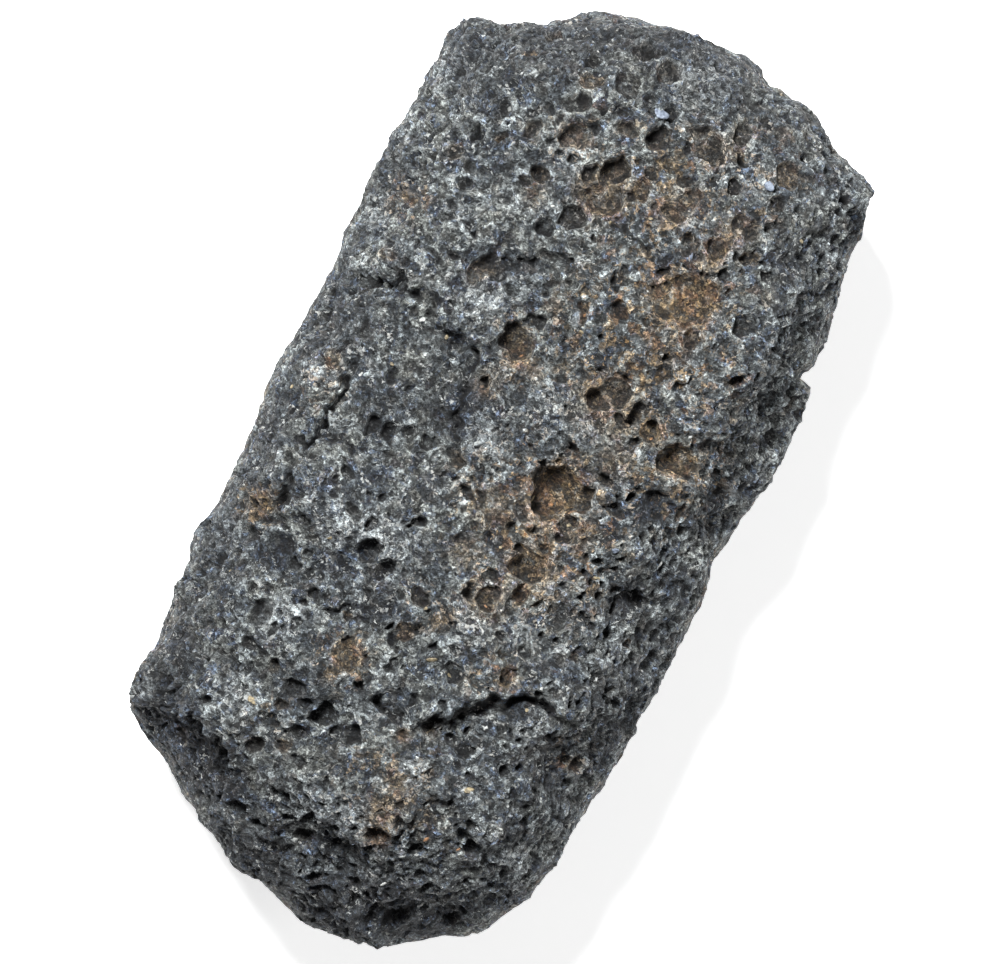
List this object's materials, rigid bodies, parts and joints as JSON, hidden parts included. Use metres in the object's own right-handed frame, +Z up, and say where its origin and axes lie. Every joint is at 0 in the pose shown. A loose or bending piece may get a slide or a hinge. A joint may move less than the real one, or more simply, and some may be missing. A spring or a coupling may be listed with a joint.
{
  "type": "lava rock",
  "caption": "block-shaped vesicular basalt lava rock, dark blue-grey, pitted with gas hollows and rust-brown stains, with broken steps on top and a flat resting patch beneath",
  "frame": {"origin": "middle of the rock's box in plan, at the height of its flat resting patch", "axes": "+Y along the longest extent, towards the end with the straight corners; +Z up, away from the resting patch, along the shortest extent; +X to the right of +Y seen from above"},
  "size_m": [0.0596, 0.1164, 0.043],
  "materials": {
    "basalt": "rough, matt"
  },
  "bodies": {
    "root": {"lava_rock": "basalt"}
  },
  "joints": []
}
